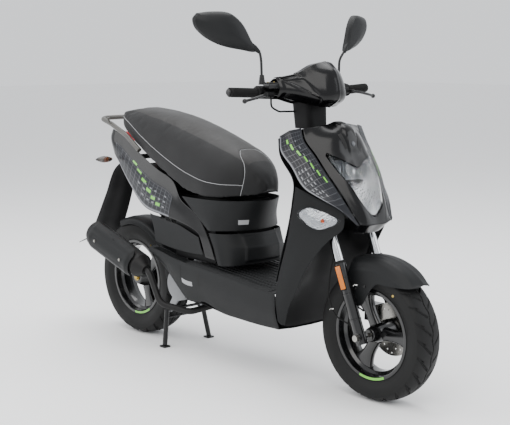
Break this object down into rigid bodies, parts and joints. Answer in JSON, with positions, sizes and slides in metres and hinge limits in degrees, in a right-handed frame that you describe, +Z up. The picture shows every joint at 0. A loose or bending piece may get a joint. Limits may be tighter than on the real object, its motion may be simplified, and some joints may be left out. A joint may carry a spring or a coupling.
{
  "type": "moped scooter",
  "caption": "Step-through motor scooter: leg shield with headlight, flat floor, long stepped seat over a storage bucket, side silencer, cast wheels and a centre stand.",
  "frame": {"origin": "on the ground under the middle of the machine", "axes": "+Z up, -Y the front, +X the rider's left"},
  "size_m": [0.863, 1.9525, 1.339],
  "materials": {
    "frame_paint": "satin black powder coat",
    "gloss_black": "gloss black paint",
    "graphite_panel": "dark grey metallic paint with grid decals",
    "matte_grey": "fine-grained matte moulding",
    "floor_grey": "ribbed matte moulding",
    "black_plastic": "grained black moulding",
    "seat_vinyl": "matte vinyl with light stitching",
    "clear_lens": "clear polycarbonate",
    "red_lens": "red acrylic",
    "smoke_lens": "smoked acrylic",
    "chrome": "hard chrome",
    "bare_metal": "cast aluminium",
    "brake_steel": "ground steel",
    "rail_paint": "warm grey paint",
    "rim_black": "gloss black enamel",
    "tyre": "rubber tread",
    "rubber": "moulded rubber",
    "spring_red": "black coated spring steel"
  },
  "bodies": {
    "frame": {"chassis_frame": "frame_paint", "front_fairing": "gloss_black", "headlight_lens": "clear_lens", "wings": "graphite_panel", "front_indicators": "clear_lens", "leg_shields": "matte_grey", "wheel_well_liner": "black_plastic", "inner_shield": "matte_grey", "floorboard": "floor_grey", "belly_pan": "black_plastic", "side_skirts": "matte_grey", "seat_box": "matte_grey", "service_cover": "matte_grey", "side_panels": "matte_grey", "tail_panels": "gloss_black", "helmet_bucket": "black_plastic", "fuel_tank": "black_plastic", "grab_rail": "rail_paint", "tail_light": "red_lens", "rear_indicators": "smoke_lens", "plate_holder": "black_plastic"},
    "key": {"ignition_key": "bare_metal"},
    "steering": {"steering_stem": "frame_paint", "fork_tubes": "chrome", "handlebar": "frame_paint", "handlebar_cover_front": "gloss_black", "handlebar_cover_rear": "matte_grey", "speedometer": "black_plastic", "left_grip": "rubber", "control_pods": "black_plastic", "mirror_stalks": "frame_paint"},
    "starter": {"starter_button": "black_plastic"},
    "throttle": {"throttle_grip": "rubber"},
    "front_lever": {"front_brake_lever": "frame_paint"},
    "rear_lever": {"rear_brake_lever": "frame_paint"},
    "left_mirror": {"left_mirror_head": "matte_grey"},
    "right_mirror": {"right_mirror_head": "matte_grey"},
    "fork_lower": {"fork_legs": "rim_black", "front_axle": "brake_steel", "front_fender": "matte_grey", "brake_caliper": "rim_black", "speedo_cable": "rubber"},
    "front_wheel": {"front_rim": "rim_black", "front_tyre": "tyre", "brake_disc": "brake_steel"},
    "engine": {"engine_case": "bare_metal", "cvt_cover": "black_plastic", "exhaust": "rim_black", "muffler_shield": "matte_grey", "rear_hugger": "matte_grey"},
    "kick": {"kick_lever": "frame_paint"},
    "rear_wheel": {"rear_rim": "rim_black", "rear_axle_shaft": "brake_steel", "rear_tyre": "tyre"},
    "shock_upper": {"shock_body": "frame_paint", "shock_spring": "spring_red"},
    "shock_lower": {"shock_rod": "chrome"},
    "stand": {"centre_stand": "frame_paint"},
    "seat": {"seat_cushion": "seat_vinyl", "seat_base": "black_plastic"}
  },
  "joints": [
    {"name": "steering_turn", "type": "hinge", "parent": "frame", "child": "steering", "pos_m": [0, -0.48278, 0.7797], "axis": [0, 0.3746, 0.9272], "range_deg": [-38, 38]},
    {"name": "fork_compress", "type": "slide", "parent": "steering", "child": "fork_lower", "axis": [0, 0.3746, 0.9272], "range_m": [0, 0.06], "stiffness_N_per_m": 9000, "springref_m": -0.04, "deforming": ["speedo_cable"]},
    {"name": "front_wheel_spin", "type": "hinge", "parent": "fork_lower", "child": "front_wheel", "pos_m": [0, -0.74, 0.2365], "axis": [1, 0, 0], "continuous": true},
    {"name": "key_turn", "type": "hinge", "parent": "frame", "child": "key", "pos_m": [-0.092, -0.388, 0.8], "axis": [0, 0.8645, 0.5026], "range_deg": [-90, 0]},
    {"name": "starter_press", "type": "slide", "parent": "steering", "child": "starter", "axis": [0, -0.9615, -0.2747], "range_m": [0, 0.003], "stiffness_N_per_m": 300, "springref_m": -0.002},
    {"name": "throttle_twist", "type": "hinge", "parent": "steering", "child": "throttle", "pos_m": [-0.22752, -0.35587, 1.06258], "axis": [-0.9954, 0.0857, 0.0429], "range_deg": [-70, 0], "stiffness_Nm_per_rad": 0.4, "springref_deg": 28.65},
    {"name": "front_lever_pull", "type": "hinge", "parent": "steering", "child": "front_lever", "pos_m": [-0.21955, -0.39856, 1.05624], "axis": [0, 0, -1], "range_deg": [0, 14], "stiffness_Nm_per_rad": 1, "springref_deg": -17.19},
    {"name": "rear_lever_pull", "type": "hinge", "parent": "steering", "child": "rear_lever", "pos_m": [0.21955, -0.39856, 1.05624], "axis": [0, 0, 1], "range_deg": [0, 14], "stiffness_Nm_per_rad": 1, "springref_deg": -17.19},
    {"name": "left_mirror_turn", "type": "hinge", "parent": "steering", "child": "left_mirror", "pos_m": [0.223, -0.357, 1.207], "axis": [0, 0, 1], "range_deg": [-25, 25]},
    {"name": "right_mirror_turn", "type": "hinge", "parent": "steering", "child": "right_mirror", "pos_m": [-0.223, -0.357, 1.207], "axis": [0, 0, 1], "range_deg": [-25, 25]},
    {"name": "engine_swing", "type": "hinge", "parent": "frame", "child": "engine", "pos_m": [0, 0.145, 0.222], "axis": [1, 0, 0], "range_deg": [0, 7], "stiffness_Nm_per_rad": 3500, "springref_deg": -2.86},
    {"name": "shock_tilt", "type": "hinge", "parent": "frame", "child": "shock_upper", "pos_m": [0.097, 0.56, 0.64], "axis": [1, 0, 0], "range_deg": [-1.3, 0.2]},
    {"name": "shock_stroke", "type": "slide", "parent": "shock_upper", "child": "shock_lower", "axis": [0, -0.1773, 0.9842], "range_m": [-0.001, 0.061], "deforming": ["shock_spring"]},
    {"name": "rear_wheel_spin", "type": "hinge", "parent": "engine", "child": "rear_wheel", "pos_m": [0, 0.59, 0.2435], "axis": [1, 0, 0], "continuous": true},
    {"name": "kick_swing", "type": "hinge", "parent": "engine", "child": "kick", "pos_m": [0.148, 0.34, 0.262], "axis": [-1, 0, 0], "range_deg": [0, 50], "stiffness_Nm_per_rad": 2, "springref_deg": -28.65},
    {"name": "stand_fold", "type": "hinge", "parent": "engine", "child": "stand", "pos_m": [0, 0.328, 0.15], "axis": [1, 0, 0], "range_deg": [0, 75], "stiffness_Nm_per_rad": 6, "springref_deg": -17.19},
    {"name": "seat_open", "type": "hinge", "parent": "frame", "child": "seat", "pos_m": [0, -0.182, 0.65], "axis": [1, 0, 0], "range_deg": [0, 50]}
  ],
  "couplings": [
    {"joint": "shock_tilt", "follows": "engine_swing", "ratio": -0.149},
    {"joint": "shock_stroke", "follows": "engine_swing", "m_per_rad": 0.4804}
  ]
}
